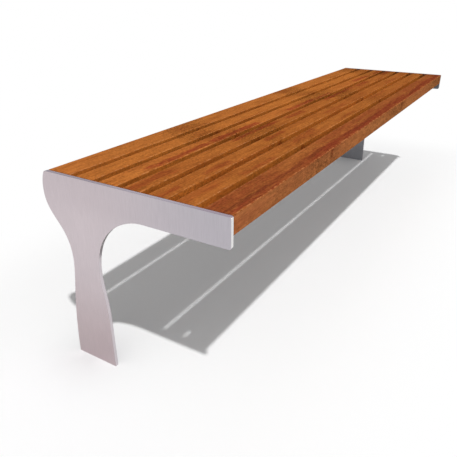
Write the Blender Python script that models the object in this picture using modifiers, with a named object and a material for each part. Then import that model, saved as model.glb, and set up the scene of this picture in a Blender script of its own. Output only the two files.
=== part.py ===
"""Backless street bench: two profiled steel end plates, hardwood slats and folded steel bearers.

Metres, +Z up. The origin is on the ground, at the middle of the bench. X runs along the slats,
and the front of the seat, where it overhangs the legs, faces -Y.
"""

import math

import bmesh
import bpy
from mathutils import Matrix, Vector

# Overall sizes
BENCH_LENGTH = 1.800
SEAT_DEPTH = 0.450
SEAT_HEIGHT = 0.440

# End plates, cut from flat steel
PLATE_THICKNESS = 0.008
ARM_HEIGHT = 0.060
UNDER_ARM_REACH = 0.126
NECK_WIDTH = 0.074
NECK_SETBACK = 0.060
NECK_FRONT_DROP = 0.202
NECK_BACK_DROP = 0.190
ANKLE_STEP = 0.002
FOOT_WIDTH = 0.1115
FOOT_SETBACK = 0.0375
BULGE_DROP = 0.043
CREST_LEAN = 0.010
FRONT_TOP_RADIUS = 0.003
FRONT_BOTTOM_RADIUS = 0.006
CREST_RADIUS = 0.008

# How far the plate's curves hold their direction, as shares of the stretch that each one spans,
# and the share of the leg's front below the neck that is straight
UNDER_ARM_FULLNESS = 0.35
NECK_FRONT_FULLNESS = 0.75
LEG_FRONT_STRAIGHT = 0.48
LEG_FRONT_HIGH_FULLNESS = 0.28
LEG_FRONT_LOW_FULLNESS = 0.43
LEG_BACK_LOW_FULLNESS = 0.53
LEG_BACK_HIGH_FULLNESS = 0.18
SHOULDER_LOW_FULLNESS = 0.56
SHOULDER_HIGH_FULLNESS = 0.42
CREST_FULLNESS = 0.33

# Seat slats: the inner ones share the depth that the front and back ones leave
INNER_SLATS = 5
FRONT_SLAT_WIDTH = 0.0575
BACK_SLAT_WIDTH = 0.061
SLAT_GAP = 0.017
SLAT_THICKNESS = 0.037
SLAT_ARRIS = 0.0015
SLAT_FRONT_INSET = 0.001
SLAT_BACK_INSET = 0.0135
SLAT_END_GAP = 0.001

# Folded bearers under the slats
BEARER_SHEET = 0.003
BEARER_DEPTH = 0.020
BEARER_BEND = 0.004
BEARER_OVERLAP = 0.031
CENTRE_BEARER_END_GAP = 0.001
FRONT_BEARER_INSET = 0.024
BEARER_INSET = 0.012

# Angle brackets on the inner faces of the plates
BRACKET_SHEET = 0.005
BRACKET_WIDTH = 0.026
BRACKET_REACH = 0.070
BRACKET_DROP = 0.019
BRACKET_BEND = 0.006
BRACKET_HOLE_EDGE = 0.015
BRACKET_ROOM = 0.002

# Coach screws through the brackets
COACH_DIAMETER = 0.008
COACH_COVER = 0.009
COACH_HEX_FLATS = 0.013
COACH_HEX_HEIGHT = 0.0055
COACH_FLANGE_DIAMETER = 0.017
COACH_FLANGE_THICKNESS = 0.0015
COACH_TIP = 0.003

# Wood screws through the bearers
WOOD_SCREW_DIAMETER = 0.005
WOOD_SCREW_COVER = 0.014
WOOD_SCREW_HEAD_DIAMETER = 0.010
WOOD_SCREW_HEAD_HEIGHT = 0.0032
WOOD_SCREW_TIP = 0.004
WOOD_SCREW_SPACING = 0.600

# Clearances
SEAT_CLEARANCE = 0.0003
PILOT_CLEARANCE = 0.0003
HOLE_CLEARANCE = 0.0005
HOLE_BOTTOM_CLEARANCE = 0.001
WELD_DISTANCE = 0.00001

# Fineness of round shapes
CURVE_STEPS = 12
BEND_STEPS = 4
ARRIS_STEPS = 3
ROUND_SIDES = 12
HEX_SIDES = 6
SMOOTH_ANGLE = math.radians(35)

# Places worked out from the sizes above
FRONT_Y = -SEAT_DEPTH / 2
BACK_Y = SEAT_DEPTH / 2
PLATE_INNER_X = BENCH_LENGTH / 2 - PLATE_THICKNESS
SLAT_BOTTOM = SEAT_HEIGHT - SLAT_THICKNESS
WEB_TOP = SLAT_BOTTOM - SEAT_CLEARANCE
WEB_BOTTOM = WEB_TOP - BEARER_SHEET
BRACKET_TOP = WEB_BOTTOM - SEAT_CLEARANCE
BRACKET_BOTTOM = BRACKET_TOP - BRACKET_SHEET
COACH_SEAT = BRACKET_BOTTOM - SEAT_CLEARANCE
WOOD_SCREW_SEAT = WEB_BOTTOM - SEAT_CLEARANCE
BRACKET_HOLE_REACH = BRACKET_REACH - BRACKET_HOLE_EDGE
COACH_X = PLATE_INNER_X - BRACKET_HOLE_REACH
COACH_HOLE_END = SEAT_HEIGHT - COACH_COVER
COACH_TIP_END = COACH_HOLE_END - HOLE_BOTTOM_CLEARANCE
WOOD_SCREW_HOLE_END = SEAT_HEIGHT - WOOD_SCREW_COVER
WOOD_SCREW_TIP_END = WOOD_SCREW_HOLE_END - HOLE_BOTTOM_CLEARANCE
BEARER_HALF_LENGTH = PLATE_INNER_X - BRACKET_REACH + BEARER_OVERLAP
CENTRE_BEARER_HALF_LENGTH = PLATE_INNER_X - CENTRE_BEARER_END_GAP
INNER_SLAT_WIDTH = (
    SEAT_DEPTH
    - SLAT_FRONT_INSET
    - FRONT_SLAT_WIDTH
    - BACK_SLAT_WIDTH
    - SLAT_BACK_INSET
    - SLAT_GAP * (INNER_SLATS + 1)
) / INNER_SLATS


for leftover in list(bpy.data.objects):
    bpy.data.objects.remove(leftover, do_unlink=True)

bench = bpy.data.collections.new("backless_bench")
cutters = bpy.data.collections.new("bench_cutters")
bpy.context.scene.collection.children.link(bench)
bpy.context.scene.collection.children.link(cutters)

origin = bpy.data.objects.new("bench_origin", None)
bench.objects.link(origin)


def make_material(name, colour, roughness, metallic):
    """A plain material for one kind of sub-part."""
    material = bpy.data.materials.new(name)
    material.use_nodes = True
    shader = material.node_tree.nodes["Principled BSDF"]
    shader.inputs["Base Color"].default_value = (*colour, 1.0)
    shader.inputs["Roughness"].default_value = roughness
    shader.inputs["Metallic"].default_value = metallic
    return material


def add_part(name, data, material, location=(0.0, 0.0, 0.0), turn=0.0):
    """Put a mesh or curve into the bench as a named part, turned about the vertical."""
    part = bpy.data.objects.new(name, data)
    part.location = location
    part.rotation_euler = (0.0, 0.0, turn)
    part.parent = origin
    if not data.materials:
        data.materials.append(material)
    bench.objects.link(part)
    return part


def mesh_from(bm, name, smooth=False):
    """Turn a bmesh into a mesh, with its round faces shaded smooth where asked."""
    mesh = bpy.data.meshes.new(name)
    bm.to_mesh(mesh)
    bm.free()
    if smooth:
        mesh.shade_smooth()
        mesh.set_sharp_from_angle(angle=SMOOTH_ANGLE)
    return mesh


def evaluated_mesh(part, name):
    """The mesh that a part has after its modifiers, welded."""
    bpy.context.view_layer.update()
    graph = bpy.context.evaluated_depsgraph_get()
    mesh = bpy.data.meshes.new_from_object(part.evaluated_get(graph))
    mesh.name = name
    bm = bmesh.new()
    bm.from_mesh(mesh)
    bmesh.ops.remove_doubles(bm, verts=bm.verts, dist=WELD_DISTANCE)
    bm.to_mesh(mesh)
    bm.free()
    return mesh


def add_hole_cutter(name, holes):
    """One cutter with a round hole for each (x, y, low z, high z, diameter)."""
    bm = bmesh.new()
    for x, y, low, high, diameter in holes:
        bmesh.ops.create_cone(
            bm,
            cap_ends=True,
            segments=ROUND_SIDES,
            radius1=diameter / 2,
            radius2=diameter / 2,
            depth=high - low,
            matrix=Matrix.Translation((x, y, (low + high) / 2)),
        )
    cutter = bpy.data.objects.new(name, mesh_from(bm, name))
    cutter.hide_render = True
    cutter.display_type = "WIRE"
    cutters.objects.link(cutter)
    return cutter


def cut_holes(part, cutter):
    """Cut the cutter's holes out of a part."""
    cut = part.modifiers.new("holes", "BOOLEAN")
    cut.operation = "DIFFERENCE"
    cut.solver = "EXACT"
    cut.object = cutter


# End plates: one outline, as knots with the handles that shape its curves
def knot(point, handle_in=None, handle_out=None):
    """A knot of the outline; a side with no handle is straight."""
    return Vector(point), handle_in, handle_out


def rounded_corner(corner, way_in, way_out, radius, lead=None):
    """Two knots that round a corner with an arc; lead is the handle of a curve that runs into it."""
    corner = Vector(corner)
    turn = way_in.angle(way_out)
    start = corner - way_in * radius * math.tan(turn / 2)
    end = corner + way_out * radius * math.tan(turn / 2)
    reach = radius * math.tan(turn / 4) * 4 / 3
    handle_in = None if lead is None else start - way_in * lead
    return [knot(start, handle_in, start + way_in * reach), knot(end, end - way_out * reach, None)]


def plate_knots():
    """The plate's outline, from the foot round by the back, the top and the arm, as (y, z) knots."""
    up = Vector((0.0, 1.0))
    forward = Vector((-1.0, 0.0))
    foot_back = Vector((BACK_Y - FOOT_SETBACK, 0.0))
    foot_front = foot_back + forward * FOOT_WIDTH
    neck_back = Vector((BACK_Y - NECK_SETBACK, SEAT_HEIGHT - NECK_BACK_DROP))
    neck_front = Vector((neck_back.x - NECK_WIDTH, SEAT_HEIGHT - NECK_FRONT_DROP))
    ankle = foot_front + Vector((ANKLE_STEP, neck_front.y * LEG_FRONT_STRAIGHT))
    bulge = Vector((BACK_Y, SEAT_HEIGHT - BULGE_DROP))
    crest = Vector((BACK_Y - CREST_LEAN, SEAT_HEIGHT))
    arm_bottom = SEAT_HEIGHT - ARM_HEIGHT
    arm_end = Vector((neck_front.x - UNDER_ARM_REACH, arm_bottom))

    leg_rise = up * neck_back.y
    shoulder_rise = up * (bulge.y - neck_back.y)
    crest_rise = up * BULGE_DROP * CREST_FULLNESS
    crest_way = Vector((-2 * CREST_LEAN, BULGE_DROP)).normalized()
    arm_fall = up * (arm_bottom - neck_front.y)
    ankle_fall = up * (neck_front.y - ankle.y)
    return [
        knot(foot_back, None, foot_back + leg_rise * LEG_BACK_LOW_FULLNESS),
        knot(
            neck_back,
            neck_back - leg_rise * LEG_BACK_HIGH_FULLNESS,
            neck_back + shoulder_rise * SHOULDER_LOW_FULLNESS,
        ),
        knot(bulge, bulge - shoulder_rise * SHOULDER_HIGH_FULLNESS, bulge + crest_rise),
        *rounded_corner(crest, crest_way, forward, CREST_RADIUS, crest_rise.length),
        *rounded_corner((FRONT_Y, SEAT_HEIGHT), forward, -up, FRONT_TOP_RADIUS),
        *rounded_corner((FRONT_Y, arm_bottom), -up, -forward, FRONT_BOTTOM_RADIUS),
        knot(arm_end, None, arm_end - forward * UNDER_ARM_REACH * UNDER_ARM_FULLNESS),
        knot(
            neck_front,
            neck_front + arm_fall * NECK_FRONT_FULLNESS,
            neck_front - ankle_fall * LEG_FRONT_HIGH_FULLNESS,
        ),
        knot(ankle, ankle + ankle_fall * LEG_FRONT_LOW_FULLNESS, None),
        knot(foot_front),
    ]


def set_handle(point, side, handle):
    """Give one side of a Bezier point its handle, or make that side straight."""
    if handle is None:
        setattr(point, f"handle_{side}_type", "VECTOR")
        return
    setattr(point, f"handle_{side}_type", "FREE")
    setattr(point, f"handle_{side}", (*handle, 0.0))


def plate_curve():
    """The plate as a filled flat curve, as thick as the plate."""
    curve = bpy.data.curves.new("end_plate", "CURVE")
    curve.dimensions = "2D"
    curve.fill_mode = "BOTH"
    curve.extrude = PLATE_THICKNESS / 2
    curve.resolution_u = CURVE_STEPS
    spline = curve.splines.new("BEZIER")
    knots = plate_knots()
    spline.bezier_points.add(len(knots) - 1)
    for point, (place, handle_in, handle_out) in zip(spline.bezier_points, knots):
        point.co = (*place, 0.0)
        set_handle(point, "left", handle_in)
        set_handle(point, "right", handle_out)
    spline.use_cyclic_u = True
    return curve


plate_steel = make_material("plate_steel", (0.52, 0.48, 0.50), 0.42, 1.0)
plate_outline = plate_curve()
for side, side_name in ((-1, "left"), (1, "right")):
    plate = add_part(f"end_plate_{side_name}", plate_outline, plate_steel)
    plate.location.x = side * (PLATE_INNER_X + PLATE_THICKNESS / 2)
    plate.rotation_euler = (math.pi / 2, 0.0, math.pi / 2)


# Slat places, from the front edge to the back edge
slat_edges = []
slat_front = FRONT_Y + SLAT_FRONT_INSET
for width in [FRONT_SLAT_WIDTH] + [INNER_SLAT_WIDTH] * INNER_SLATS + [BACK_SLAT_WIDTH]:
    slat_edges.append((slat_front, slat_front + width))
    slat_front += width + SLAT_GAP

# Each bearer carries a run of slats: its name, the slats' edges, the inset of its front edge and its
# half length. The centre one reaches the plates, and the others end over the brackets
bearer_runs = [
    ("front_bearer", slat_edges[:2], FRONT_BEARER_INSET, BEARER_HALF_LENGTH),
    ("centre_bearer", slat_edges[2:-1], BEARER_INSET, CENTRE_BEARER_HALF_LENGTH),
    ("rear_bearer", slat_edges[-1:], BEARER_INSET, BEARER_HALF_LENGTH),
]

# The screws of a run's first slat keep their brackets clear of the bearer's front flange, and the
# others are in the middle of their slats
flange_room = BEARER_SHEET + BRACKET_ROOM + BRACKET_WIDTH / 2
bearer_edges = {}
fixing_y = []
for bearer_name, run_edges, inset, bearer_end in bearer_runs:
    bearer_front = run_edges[0][0] + inset
    fixing_y.append(bearer_front + flange_room)
    for slat_low, slat_high in run_edges[1:]:
        fixing_y.append((slat_low + slat_high) / 2)
    bearer_edges[bearer_name] = (bearer_front, fixing_y[-1] + flange_room, bearer_end)

# Holes for the screws: pilot holes in the slats, clearance holes in the bearers
end_stations = [-COACH_X, COACH_X]
span_stations = [-WOOD_SCREW_SPACING / 2, WOOD_SCREW_SPACING / 2]
coach_pilot = COACH_DIAMETER + 2 * PILOT_CLEARANCE
coach_hole = COACH_DIAMETER + 2 * HOLE_CLEARANCE
wood_pilot = WOOD_SCREW_DIAMETER + 2 * PILOT_CLEARANCE
wood_hole = WOOD_SCREW_DIAMETER + 2 * HOLE_CLEARANCE
pilot_start = SLAT_BOTTOM - BEARER_SHEET
web_start = WEB_BOTTOM - BEARER_SHEET
web_end = WEB_TOP + BEARER_SHEET
pilot_holes = []
web_holes = []
for y in fixing_y:
    for x in end_stations:
        pilot_holes.append((x, y, pilot_start, COACH_HOLE_END, coach_pilot))
        web_holes.append((x, y, web_start, web_end, coach_hole))
    for x in span_stations:
        pilot_holes.append((x, y, pilot_start, WOOD_SCREW_HOLE_END, wood_pilot))
        web_holes.append((x, y, web_start, web_end, wood_hole))
pilot_cutter = add_hole_cutter("pilot_holes", pilot_holes)
web_cutter = add_hole_cutter("web_holes", web_holes)


# Seat slats
def slat_mesh(name, width, length):
    """A slat about its own centre, with its long edges rounded."""
    bm = bmesh.new()
    bmesh.ops.create_cube(bm, size=1.0)
    bmesh.ops.scale(bm, vec=(length, width, SLAT_THICKNESS), verts=bm.verts)
    long_edges = [edge for edge in bm.edges if abs(edge.verts[0].co.x - edge.verts[1].co.x) > length / 2]
    bmesh.ops.bevel(
        bm,
        geom=long_edges,
        offset=SLAT_ARRIS,
        segments=ARRIS_STEPS,
        affect="EDGES",
    )
    return mesh_from(bm, name, smooth=True)


hardwood = make_material("hardwood", (0.40, 0.17, 0.05), 0.55, 0.0)
slat_length = 2 * (PLATE_INNER_X - SLAT_END_GAP)
slat_middle = SEAT_HEIGHT - SLAT_THICKNESS / 2
for number, (slat_low, slat_high) in enumerate(slat_edges, start=1):
    slat_name = f"seat_slat_{number}"
    slat_place = (0.0, (slat_low + slat_high) / 2, slat_middle)
    slat_data = slat_mesh(slat_name, slat_high - slat_low, slat_length)
    cut_holes(add_part(slat_name, slat_data, hardwood, slat_place), pilot_cutter)


# Folded sheet: bearers and brackets
def folded_profile(corners, bend):
    """Points of an open profile whose inner corners are rounded to a bend radius."""
    points = [Vector(corners[0])]
    for before, corner, after in zip(corners, corners[1:], corners[2:]):
        corner = Vector(corner)
        way_in = (corner - Vector(before)).normalized()
        way_out = (Vector(after) - corner).normalized()
        centre = corner + (way_out - way_in) * bend
        for step in range(BEND_STEPS + 1):
            turn = math.pi / 2 * step / BEND_STEPS
            points.append(centre + (way_in * math.sin(turn) - way_out * math.cos(turn)) * bend)
    points.append(Vector(corners[-1]))
    return points


def folded_sheet_mesh(name, profile, run):
    """An open sheet, facing up: a profile drawn along a run vector."""
    bm = bmesh.new()
    line = [bm.verts.new(point) for point in profile]
    edges = [bm.edges.new(pair) for pair in zip(line, line[1:])]
    drawn = bmesh.ops.extrude_edge_only(bm, edges=edges)
    moved = [item for item in drawn["geom"] if isinstance(item, bmesh.types.BMVert)]
    bmesh.ops.translate(bm, verts=moved, vec=run)
    bm.normal_update()
    if sum(face.normal.z * face.calc_area() for face in bm.faces) < 0.0:
        bmesh.ops.reverse_faces(bm, faces=bm.faces)
    return mesh_from(bm, name)


def thicken(part, sheet):
    """Give an open sheet its thickness, on the inner side of its folds."""
    wall = part.modifiers.new("sheet", "SOLIDIFY")
    wall.thickness = sheet
    wall.offset = -1.0
    wall.use_even_offset = True


galvanised = make_material("galvanised_steel", (0.45, 0.46, 0.47), 0.5, 1.0)
flange_end = WEB_TOP - BEARER_DEPTH
for bearer_name, (bearer_front, bearer_back, bearer_end) in bearer_edges.items():
    channel = folded_profile(
        [
            (-bearer_end, bearer_front, flange_end),
            (-bearer_end, bearer_front, WEB_TOP),
            (-bearer_end, bearer_back, WEB_TOP),
            (-bearer_end, bearer_back, flange_end),
        ],
        BEARER_BEND,
    )
    bearer_data = folded_sheet_mesh(bearer_name, channel, (2 * bearer_end, 0.0, 0.0))
    bearer = add_part(bearer_name, bearer_data, galvanised)
    thicken(bearer, BEARER_SHEET)
    cut_holes(bearer, web_cutter)


# Angle brackets: one shape, with the plate's inner face at x = 0 and the ledge's top at z = 0
def bracket_mesh():
    """The bracket, with its screw hole."""
    half = BRACKET_WIDTH / 2
    angle = folded_profile(
        [
            (SEAT_CLEARANCE, -half, -BRACKET_DROP),
            (SEAT_CLEARANCE, -half, 0.0),
            (BRACKET_REACH, -half, 0.0),
        ],
        BRACKET_BEND,
    )
    sheet = folded_sheet_mesh("bracket_sheet", angle, (0.0, BRACKET_WIDTH, 0.0))
    model = bpy.data.objects.new("bracket_model", sheet)
    bpy.context.scene.collection.objects.link(model)
    thicken(model, BRACKET_SHEET)
    hole = (BRACKET_HOLE_REACH, 0.0, -2 * BRACKET_SHEET, BRACKET_SHEET, coach_hole)
    cut_holes(model, add_hole_cutter("bracket_hole", [hole]))
    mesh = evaluated_mesh(model, "slat_bracket")
    bpy.data.objects.remove(model)
    return mesh


bracket_data = bracket_mesh()
for side, side_name, turn in ((-1, "left", 0.0), (1, "right", math.pi)):
    for number, y in enumerate(fixing_y, start=1):
        bracket_place = (side * PLATE_INNER_X, y, BRACKET_TOP)
        add_part(f"slat_bracket_{side_name}_{number}", bracket_data, galvanised, bracket_place, turn)


# Screws: one shape each, with the head's seat at z = 0 and the shank upwards
def profile_mesh(name, points):
    """An open profile from (radius, z) points, given from its top to its bottom."""
    bm = bmesh.new()
    line = [bm.verts.new((radius, 0.0, z)) for radius, z in points]
    for pair in zip(line, line[1:]):
        bm.edges.new(pair)
    return mesh_from(bm, name)


def turn_profile(part):
    """Turn a part's profile about its own vertical axis."""
    turned = part.modifiers.new("turned", "SCREW")
    turned.steps = ROUND_SIDES
    turned.render_steps = ROUND_SIDES
    turned.use_merge_vertices = True
    turned.merge_threshold = WELD_DISTANCE


def coach_screw_mesh():
    """A hexagon head on a flange, with a pointed shank."""
    shank = COACH_TIP_END - COACH_SEAT
    radius = COACH_DIAMETER / 2
    flange = COACH_FLANGE_DIAMETER / 2
    profile = profile_mesh(
        "coach_screw_profile",
        [
            (0.0, shank),
            (radius, shank - COACH_TIP),
            (radius, 0.0),
            (flange, 0.0),
            (flange, -COACH_FLANGE_THICKNESS),
            (0.0, -COACH_FLANGE_THICKNESS),
        ],
    )
    screw = bpy.data.objects.new("screw_model", profile)
    bpy.context.scene.collection.objects.link(screw)
    turn_profile(screw)
    hex_bm = bmesh.new()
    hex_corner = COACH_HEX_FLATS / 2 / math.cos(math.pi / HEX_SIDES)
    hex_depth = COACH_HEX_HEIGHT + COACH_FLANGE_THICKNESS / 2
    bmesh.ops.create_cone(
        hex_bm,
        cap_ends=True,
        segments=HEX_SIDES,
        radius1=hex_corner,
        radius2=hex_corner,
        depth=hex_depth,
        matrix=Matrix.Translation((0.0, 0.0, -COACH_FLANGE_THICKNESS / 2 - hex_depth / 2)),
    )
    hexagon = bpy.data.objects.new("hexagon", mesh_from(hex_bm, "hexagon"))
    hexagon.hide_render = True
    hexagon.display_type = "WIRE"
    cutters.objects.link(hexagon)
    join = screw.modifiers.new("head", "BOOLEAN")
    join.operation = "UNION"
    join.solver = "EXACT"
    join.object = hexagon
    mesh = evaluated_mesh(screw, "coach_screw")
    bpy.data.objects.remove(screw)
    return mesh


def wood_screw_profile():
    """Half the section of a pan head with a pointed shank."""
    shank = WOOD_SCREW_TIP_END - WOOD_SCREW_SEAT
    radius = WOOD_SCREW_DIAMETER / 2
    head = WOOD_SCREW_HEAD_DIAMETER / 2
    return profile_mesh(
        "wood_screw",
        [
            (0.0, shank),
            (radius, shank - WOOD_SCREW_TIP),
            (radius, 0.0),
            (head, 0.0),
            (head, -WOOD_SCREW_HEAD_HEIGHT / 2),
            (head - WOOD_SCREW_HEAD_HEIGHT / 2, -WOOD_SCREW_HEAD_HEIGHT),
            (0.0, -WOOD_SCREW_HEAD_HEIGHT),
        ],
    )


screw_steel = make_material("screw_steel", (0.60, 0.60, 0.60), 0.35, 1.0)
coach_data = coach_screw_mesh()
wood_screw_data = wood_screw_profile()
for side_name, x in zip(("left", "right"), end_stations):
    for number, y in enumerate(fixing_y, start=1):
        add_part(f"coach_screw_{side_name}_{number}", coach_data, screw_steel, (x, y, COACH_SEAT))
for side_name, x in zip(("left", "right"), span_stations):
    for number, y in enumerate(fixing_y, start=1):
        screw_name = f"wood_screw_{side_name}_{number}"
        turn_profile(add_part(screw_name, wood_screw_data, screw_steel, (x, y, WOOD_SCREW_SEAT)))
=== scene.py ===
import math

import bmesh
import bpy
from mathutils import Matrix, Vector


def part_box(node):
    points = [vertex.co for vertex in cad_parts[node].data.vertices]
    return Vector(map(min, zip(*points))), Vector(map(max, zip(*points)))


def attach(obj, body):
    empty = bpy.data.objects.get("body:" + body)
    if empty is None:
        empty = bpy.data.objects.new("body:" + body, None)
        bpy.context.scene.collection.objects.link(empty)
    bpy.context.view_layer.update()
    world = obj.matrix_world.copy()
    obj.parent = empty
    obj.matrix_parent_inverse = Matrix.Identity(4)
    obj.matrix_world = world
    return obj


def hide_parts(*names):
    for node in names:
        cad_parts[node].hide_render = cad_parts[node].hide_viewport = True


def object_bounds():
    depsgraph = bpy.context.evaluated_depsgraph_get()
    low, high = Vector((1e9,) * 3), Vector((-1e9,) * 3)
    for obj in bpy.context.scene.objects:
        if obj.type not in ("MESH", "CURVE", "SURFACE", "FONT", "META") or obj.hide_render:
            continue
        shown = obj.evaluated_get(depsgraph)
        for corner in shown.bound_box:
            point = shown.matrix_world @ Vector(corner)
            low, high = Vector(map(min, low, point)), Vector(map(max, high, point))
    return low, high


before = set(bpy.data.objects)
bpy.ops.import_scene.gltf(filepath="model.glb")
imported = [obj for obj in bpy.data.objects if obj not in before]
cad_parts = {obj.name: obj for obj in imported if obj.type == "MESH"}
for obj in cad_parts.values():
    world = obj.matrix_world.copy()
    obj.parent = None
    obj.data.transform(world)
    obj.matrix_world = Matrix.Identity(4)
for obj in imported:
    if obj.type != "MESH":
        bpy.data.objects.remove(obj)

cad_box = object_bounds()


# Camera: it stands off the left end of the bench, in front of it and above the seat, and looks down
# along the slats. The horizon is level but for a slight tilt, and the frame is square.
eye_place = (-1.5132, -0.5913, 0.7616)
eye_heading = math.radians(31.20)
eye_drop = math.radians(25.51)
eye_tilt = math.radians(0.19)
lens_length = 38.81
film_width = 36.0

bpy.ops.object.select_all(action="DESELECT")
bpy.ops.object.camera_add(location=eye_place)
camera = bpy.context.object
camera.name = "bench_view"
camera.data.lens = lens_length
camera.data.sensor_width = film_width
camera.rotation_euler = (
    Matrix.Rotation(eye_heading - math.pi / 2, 4, "Z")
    @ Matrix.Rotation(math.pi / 2 - eye_drop, 4, "X")
    @ Matrix.Rotation(eye_tilt, 4, "Z")
).to_euler()
bpy.context.scene.camera = camera


# End plates: one leg and arm at each end, cut in one piece from flat stainless steel. The outer faces
# are brushed up and down, with painted reflection across them; the inner faces are painted with shade
# and, near the slats, with a brown painted reflection; and the cut rim is slightly rounded, with painted
# reflection and shade on it. The arms hold the slats between them, and the feet stand on the ground.
plate_low, plate_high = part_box("end_plate_left")
plate_thickness = plate_high.x - plate_low.x
plate_middle = (plate_low.x + plate_high.x) / 2
arm_height = 0.060
under_arm_reach = 0.126
neck_width = 0.074
neck_setback = 0.060
neck_front_drop = 0.202
neck_back_drop = 0.190
ankle_step = 0.002
ankle_share = 0.48
foot_width = 0.1115
foot_setback = 0.0375
bulge_drop = 0.043
crest_lean = 0.010
crest_share = 0.33
front_top_radius = 0.003
front_bottom_radius = 0.006
crest_radius = 0.008
rim_round = 0.0007
rim_steps = 3
outline_steps = 32
outline_spacing = 0.0004
flat_angle = math.radians(0.05)
sharp_angle = math.radians(60)
smooth_angle = math.radians(40)
# Outer face colours: a painted reflection tint from the front to the back, and painted reflection that is
# darker at the top of the arm and at the foot
steel_front_painted_reflection = (0.500, 0.474, 0.512)
steel_back_painted_reflection = (0.600, 0.530, 0.555)
steel_top_painted_reflection = (0.945, 0.940, 0.945)
steel_foot_painted_reflection = (0.82, 0.776, 0.765)
# Painted shade on the inner faces, darker up in the arm, and a brown painted reflection of the slats
# beside them
steel_inside_leg_painted_shade = (0.33, 0.33, 0.35)
steel_inside_arm_painted_shade = (0.155, 0.160, 0.175)
steel_inside_painted_wood_reflection = (0.43, 0.19, 0.075)
# Painted reflection and shade on the cut rim: bright along the crest, paler at the front, dark where the
# crest turns down at the back, darker on the leg, and darker again on the far plate
front_rim_painted_reflection = (0.755, 0.745, 0.74)
front_crest_painted_reflection = (0.87, 0.76, 0.73)
middle_crest_painted_reflection = (0.99, 0.94, 0.88)
back_rim_painted_reflection = (0.69, 0.63, 0.60)
crest_rim_painted_shade = (0.45, 0.46, 0.43)
leg_rim_painted_shade = (0.60, 0.55, 0.58)
far_rim_painted_shade = 0.62
face_warm_end = 0.12
face_top_fade = (0.34, 0.40)
face_foot_fade = (0.27, 0.05)
inside_leg_top = 0.28
slat_shade_reach = 0.003
back_rim_fade = (-0.06, 0.13)
front_rim_fade = (-0.10, -0.17)
leg_rim_top = 0.25
brush_tone = (0.935, 1.065)
band_tone = (0.985, 1.015)
cloud_tone = (0.98, 1.02)
brushed_roughness = (0.32, 0.42)
rim_roughness = 0.18


def pick(piece, kind, test):
    """In edit mode, select only the VERT, EDGE or FACE elements that pass a test."""
    bpy.ops.mesh.select_mode(type=kind)
    bpy.ops.mesh.select_all(action="DESELECT")
    shape = bmesh.from_edit_mesh(piece.data)
    for element in {"VERT": shape.verts, "EDGE": shape.edges, "FACE": shape.faces}[kind]:
        if test(element):
            element.select_set(True)
    shape.select_flush_mode()
    bmesh.update_edit_mesh(piece.data)


def round_edges(piece, test, radius, steps):
    """In edit mode, round the edges that pass a test."""
    pick(piece, "EDGE", test)
    bpy.ops.mesh.bevel(offset=radius, segments=steps, profile=0.5, affect="EDGES")


def close_shape():
    """In edit mode, turn all faces outward, and then leave that mode."""
    bpy.ops.mesh.select_all(action="SELECT")
    bpy.ops.mesh.normals_make_consistent(inside=False)
    bpy.ops.object.mode_set(mode="OBJECT")


def is_sharp(edge):
    """True on an edge where two faces meet at about a right angle."""
    return edge.calc_face_angle(0.0) > sharp_angle


def apply_place():
    """Move the active object's place, turn and size into its mesh."""
    bpy.ops.object.transform_apply(location=True, rotation=True, scale=True)


def smooth_rounds(piece):
    """Shade the rounds smoothly and keep the flat faces flat."""
    bpy.ops.object.select_all(action="DESELECT")
    piece.select_set(True)
    bpy.context.view_layer.objects.active = piece
    bpy.ops.object.shade_smooth_by_angle(angle=smooth_angle)
    flats = piece.modifiers.new("flats", "WEIGHTED_NORMAL")
    flats.keep_sharp = True
    bpy.ops.object.modifier_apply(modifier=flats.name)


def turn_corner(corner, way_in, way_out, radius, lead=None):
    """Two outline knots that round a corner; lead is the handle of a curve that runs into it."""
    angle = way_in.angle(way_out)
    start = corner - way_in * radius * math.tan(angle / 2)
    end = corner + way_out * radius * math.tan(angle / 2)
    reach = radius * math.tan(angle / 4) * 4 / 3
    handle_in = None if lead is None else start - way_in * lead
    return [(start, handle_in, start + way_in * reach), (end, end - way_out * reach, None)]


def copy_piece(piece, name, place=(0.0, 0.0, 0.0), turn=0.0):
    """A copy with its own mesh, turned about the upright axis and moved, with its origin kept."""
    copy = piece.copy()
    copy.data = piece.data.copy()
    copy.name = name
    copy.data.name = name
    copy.data.transform(Matrix.Translation(place) @ Matrix.Rotation(turn, 4, "Z"))
    bpy.context.scene.collection.objects.link(copy)
    return copy


def place_piece(piece, node):
    """Make a finished piece stand for a node of the frame: name it, attach it to the root and hide the
    node's part.
    """
    piece.name = f"finished_{node}"
    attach(piece, "root")
    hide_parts(node)


up = Vector((0.0, 1.0))
ahead = Vector((-1.0, 0.0))
seat_front = plate_low.y
seat_back = plate_high.y
seat_top = plate_high.z
arm_bottom = seat_top - arm_height
foot_back = Vector((seat_back - foot_setback, 0.0))
foot_front = foot_back + ahead * foot_width
neck_back = Vector((seat_back - neck_setback, seat_top - neck_back_drop))
neck_front = Vector((neck_back.x - neck_width, seat_top - neck_front_drop))
ankle = foot_front + Vector((ankle_step, neck_front.y * ankle_share))
bulge = Vector((seat_back, seat_top - bulge_drop))
crest = Vector((seat_back - crest_lean, seat_top))
arm_end = Vector((neck_front.x - under_arm_reach, arm_bottom))
leg_rise = up * neck_back.y
shoulder_rise = up * (bulge.y - neck_back.y)
crest_rise = up * bulge_drop * crest_share
crest_way = Vector((-2 * crest_lean, bulge_drop)).normalized()
arm_fall = up * (arm_bottom - neck_front.y)
ankle_fall = up * (neck_front.y - ankle.y)

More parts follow.
